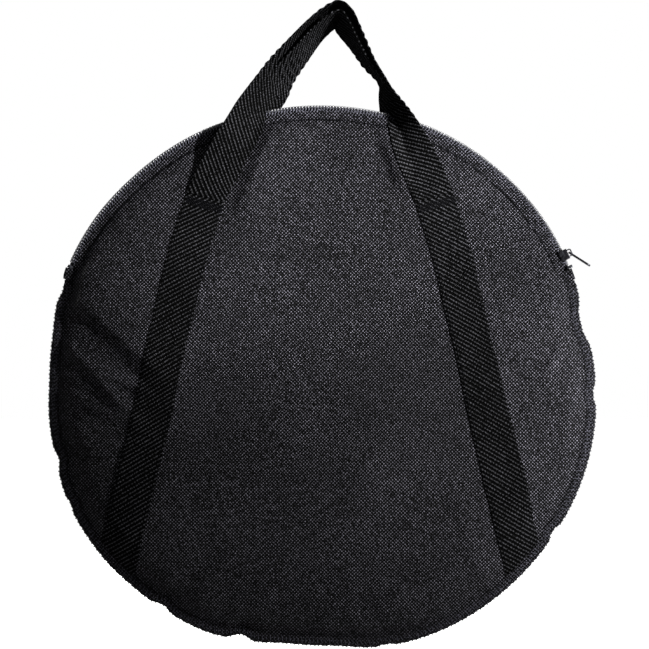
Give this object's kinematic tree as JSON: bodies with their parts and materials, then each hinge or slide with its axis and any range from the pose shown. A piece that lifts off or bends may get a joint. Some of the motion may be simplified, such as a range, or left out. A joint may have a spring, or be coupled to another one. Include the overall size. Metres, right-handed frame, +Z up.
{
  "type": "collapsible backdrop panel in carry case",
  "caption": "Round zipped carry case with two long webbing handles, holding a backdrop panel whose sprung hoop is coiled flat inside.",
  "frame": {"origin": "underside of the handles' apex, where they hang on a hand or hook, in the case's middle plane", "axes": "+Z up along the case's height, +X to the right as seen from the front, -Y the front, +Y the back"},
  "size_m": [0.632, 0.054, 0.748],
  "materials": {
    "case_cloth": "woven nylon, matt",
    "webbing": "ribbed polypropylene webbing",
    "zip_tape": "woven zip tape",
    "zip_coil": "satin coil",
    "zip_metal": "gunmetal lacquer",
    "spring_steel": "blued spring steel",
    "backdrop_cloth": "brushed backdrop cloth"
  },
  "bodies": {
    "case": {"back_panel": "case_cloth", "front_panel": "case_cloth", "seam_binding": "webbing", "zip_back_tape": "zip_tape", "zip_back_coil": "zip_coil", "zip_stop_right": "zip_metal", "zip_stop_left": "zip_metal", "zip_end_tab_right": "webbing", "zip_end_tab_left": "webbing", "strap_front_lower_left": "webbing", "strap_front_lower_right": "webbing", "strap_back_left": "webbing", "strap_back_right": "webbing", "bartack_back_left": "webbing", "bartack_back_right": "webbing", "hoop_sleeve": "backdrop_cloth", "hoop_band": "spring_steel", "hoop_ferrule": "spring_steel", "cloth_leaf_front": "backdrop_cloth", "cloth_leaf_middle": "backdrop_cloth", "cloth_leaf_back": "backdrop_cloth", "pack_pull_loop": "webbing"},
    "flap": {"front_flap": "case_cloth", "zip_front_tape": "zip_tape", "zip_front_coil": "zip_coil", "strap_front_upper_left": "webbing", "strap_front_upper_right": "webbing", "bartack_front_left": "webbing", "bartack_front_right": "webbing"},
    "front_handle": {"front_handle": "webbing"},
    "back_handle": {"back_handle": "webbing"},
    "slider": {"zip_slider": "zip_metal"},
    "pull_tab": {"zip_pull_tab": "zip_metal"}
  },
  "joints": [
    {"name": "zip_run", "type": "hinge", "parent": "case", "child": "slider", "pos_m": [-0.012, 0, -0.408], "axis": [0, -1, 0], "range_deg": [0, 127]},
    {"name": "pull_tab_swing", "type": "hinge", "parent": "slider", "child": "pull_tab", "pos_m": [0.27474, 0, -0.26504], "axis": [0, -1, 0], "range_deg": [-25, 143]},
    {"name": "flap_fold", "type": "hinge", "parent": "case", "child": "flap", "pos_m": [-0.012, -0.026, -0.2561], "axis": [1, 0, 0], "range_deg": [0, 110]},
    {"name": "front_handle_fold", "type": "hinge", "parent": "flap", "child": "front_handle", "pos_m": [0, -0.0262, -0.202], "axis": [-1, 0, 0], "range_deg": [-170, 0]},
    {"name": "back_handle_fold", "type": "hinge", "parent": "case", "child": "back_handle", "pos_m": [0, 0.0262, -0.202], "axis": [-1, 0, 0], "range_deg": [0, 170]}
  ]
}
